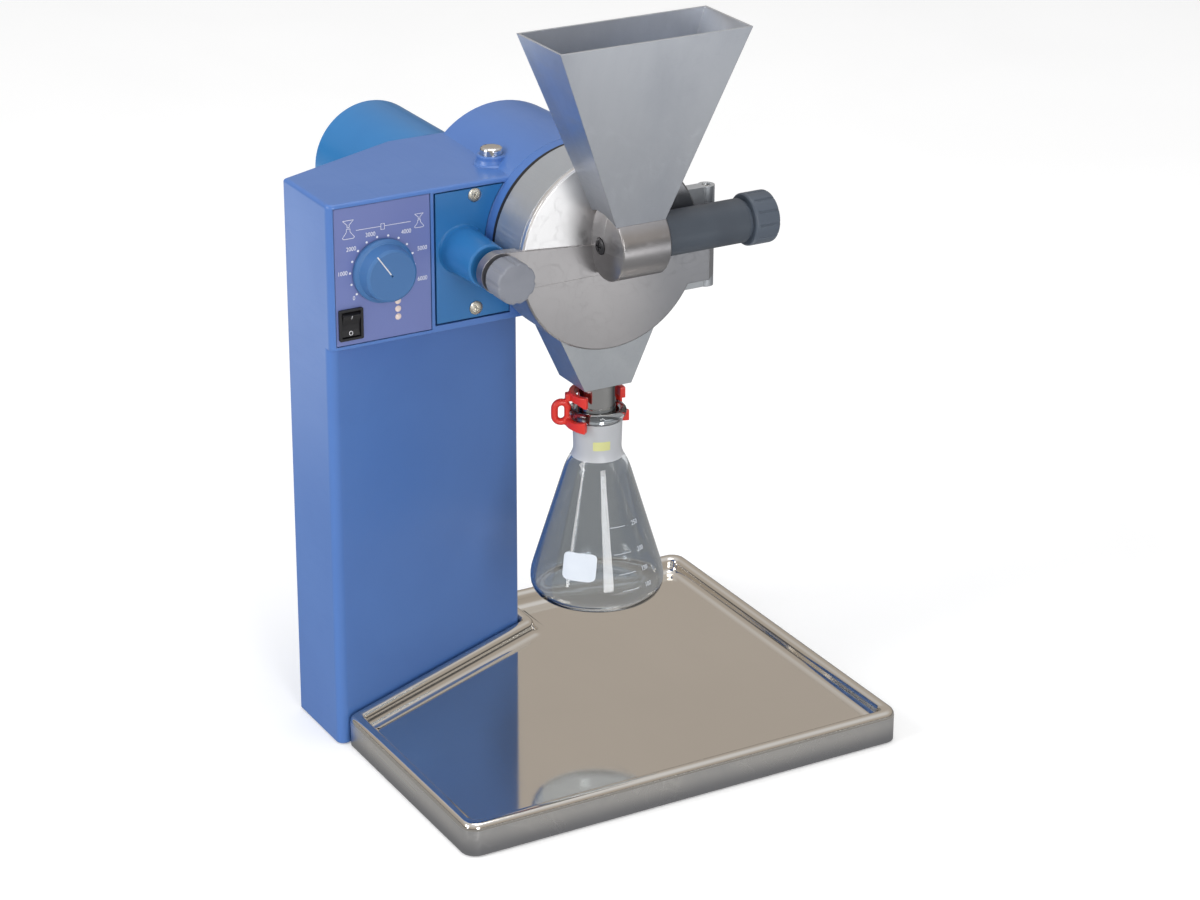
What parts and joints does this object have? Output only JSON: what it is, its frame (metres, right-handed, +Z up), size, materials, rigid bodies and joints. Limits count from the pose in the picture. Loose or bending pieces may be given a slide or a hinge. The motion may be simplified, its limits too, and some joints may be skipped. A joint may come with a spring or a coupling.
{
  "type": "analytical lab mill",
  "caption": "Bench lab mill: a hollow column with drive head, round grinding chamber with hinged door and feed hopper, outlet with glass flask, over a steel drip tray.",
  "frame": {"origin": "middle of the underside of the rubber feet, under the middle of the whole machine", "axes": "+Z up, the door and the drip tray face -Y, the control panel is at the -X side"},
  "size_m": [0.316, 0.353, 0.4695],
  "materials": {
    "paint_blue": "satin",
    "blue_plastic": "satin",
    "motor_blue": "satin",
    "panel_film": "satin",
    "stainless": "polished",
    "steel": "satin",
    "chrome": "polished",
    "aluminium": "satin",
    "sheet_aluminium": "satin",
    "dark_plastic": "matte",
    "black_plastic": "matte",
    "grey_plastic": "matte",
    "red_plastic": "gloss",
    "lamp": "gloss",
    "glass": "clear",
    "rubber": "matte",
    "circuit_board": "satin",
    "copper_and_iron": "satin"
  },
  "bodies": {
    "frame": {"base_plate": "steel", "rubber_feet": "rubber", "base_screws": "steel", "drive_housing": "paint_blue", "rear_panel": "paint_blue", "rear_panel_screws": "steel", "power_inlet": "black_plastic", "control_panel": "panel_film", "speed_potentiometer": "steel", "control_board": "circuit_board", "indicator_lamps": "lamp", "switch_body": "black_plastic", "clamp_plate": "blue_plastic", "clamp_plate_screws": "steel", "motor_cover": "motor_blue", "motor_bracket": "aluminium", "motor_stator": "copper_and_iron", "drive_belt": "rubber", "bearing_housing": "steel", "front_bearing": "steel", "rear_bearing": "steel", "shaft_seal": "rubber", "grinding_chamber": "aluminium", "chamber_screws": "stainless", "sieve_ring": "stainless", "outlet_tube": "stainless", "hinge_pin": "stainless", "lock_pin_spring": "steel", "spacer_ring": "black_plastic"},
    "clamp_washer": {"clamp_washer": "stainless"},
    "clamp_screw": {"clamp_screw": "stainless", "clamp_knob": "grey_plastic"},
    "door": {"chamber_cover": "aluminium", "cover_seal": "rubber", "feed_end_screw": "black_plastic", "hopper": "sheet_aluminium", "feed_tube": "dark_plastic"},
    "feed_knob": {"feed_knob": "dark_plastic"},
    "feed_plunger": {"feed_plunger": "dark_plastic"},
    "speed_knob": {"speed_knob": "blue_plastic"},
    "switch_rocker": {"switch_rocker": "black_plastic"},
    "lock_pin": {"lock_pin": "chrome"},
    "mill_rotor": {"mill_shaft": "steel", "beater_rotor": "stainless", "rotor_nut": "stainless", "driven_pulley": "steel"},
    "motor_rotor": {"motor_shaft": "steel", "drive_pulley": "steel", "cooling_fan": "black_plastic"},
    "flask": {"flask": "glass", "joint_clip": "red_plastic"},
    "drip_tray": {"drip_tray": "stainless"}
  },
  "joints": [
    {"name": "door_hinge", "type": "hinge", "parent": "frame", "child": "door", "pos_m": [0.083, -0.0515, 0.3175], "axis": [0, 0, 1], "range_deg": [0, 110]},
    {"name": "feed_knob_turn", "type": "hinge", "parent": "door", "child": "feed_knob", "pos_m": [0.1, -0.0785, 0.334], "axis": [1, 0, 0], "range_deg": [0, 720]},
    {"name": "feed_plunger_slide", "type": "slide", "parent": "door", "child": "feed_plunger", "axis": [-1, 0, 0], "range_m": [0, 0.016]},
    {"name": "clamp_washer_slide", "type": "slide", "parent": "door", "child": "clamp_washer", "axis": [0, -1, 0], "range_m": [0, 0.00375]},
    {"name": "clamp_turn", "type": "hinge", "parent": "clamp_washer", "child": "clamp_screw", "pos_m": [-0.0685, -0.0735, 0.322], "axis": [0, -1, 0], "range_deg": [0, 1080]},
    {"name": "speed_knob_turn", "type": "hinge", "parent": "frame", "child": "speed_knob", "pos_m": [-0.1225, -0.0185, 0.318], "axis": [0, 1, 0], "range_deg": [-91, 145]},
    {"name": "power_rocker", "type": "hinge", "parent": "frame", "child": "switch_rocker", "pos_m": [-0.1447, -0.0115, 0.2868], "axis": [-1, 0, 0], "range_deg": [0, 20]},
    {"name": "lock_pin_press", "type": "slide", "parent": "frame", "child": "lock_pin", "axis": [0, 0, -1], "range_m": [0, 0.004], "stiffness_N_per_m": 600, "springref_m": -0.003, "deforming": ["lock_pin_spring"]},
    {"name": "mill_spin", "type": "hinge", "parent": "frame", "child": "mill_rotor", "pos_m": [0.009, 0.0065, 0.322], "axis": [0, 1, 0], "continuous": true},
    {"name": "motor_spin", "type": "hinge", "parent": "frame", "child": "motor_rotor", "pos_m": [-0.0405, 0.0865, 0.3235], "axis": [0, 1, 0], "continuous": true},
    {"name": "flask_pull", "type": "slide", "parent": "frame", "child": "flask", "axis": [0, 0, -1], "range_m": [0, 0.06]},
    {"name": "tray_lift", "type": "slide", "parent": "frame", "child": "drip_tray", "axis": [0, 0, 1], "range_m": [0, 0.012]}
  ],
  "couplings": [
    {"joint": "feed_plunger_slide", "follows": "feed_knob_turn", "m_per_rad": 0.0012732},
    {"joint": "clamp_washer_slide", "follows": "clamp_turn", "m_per_rad": 0.00019894},
    {"joint": "motor_spin", "follows": "mill_spin", "ratio": 1.5}
  ]
}
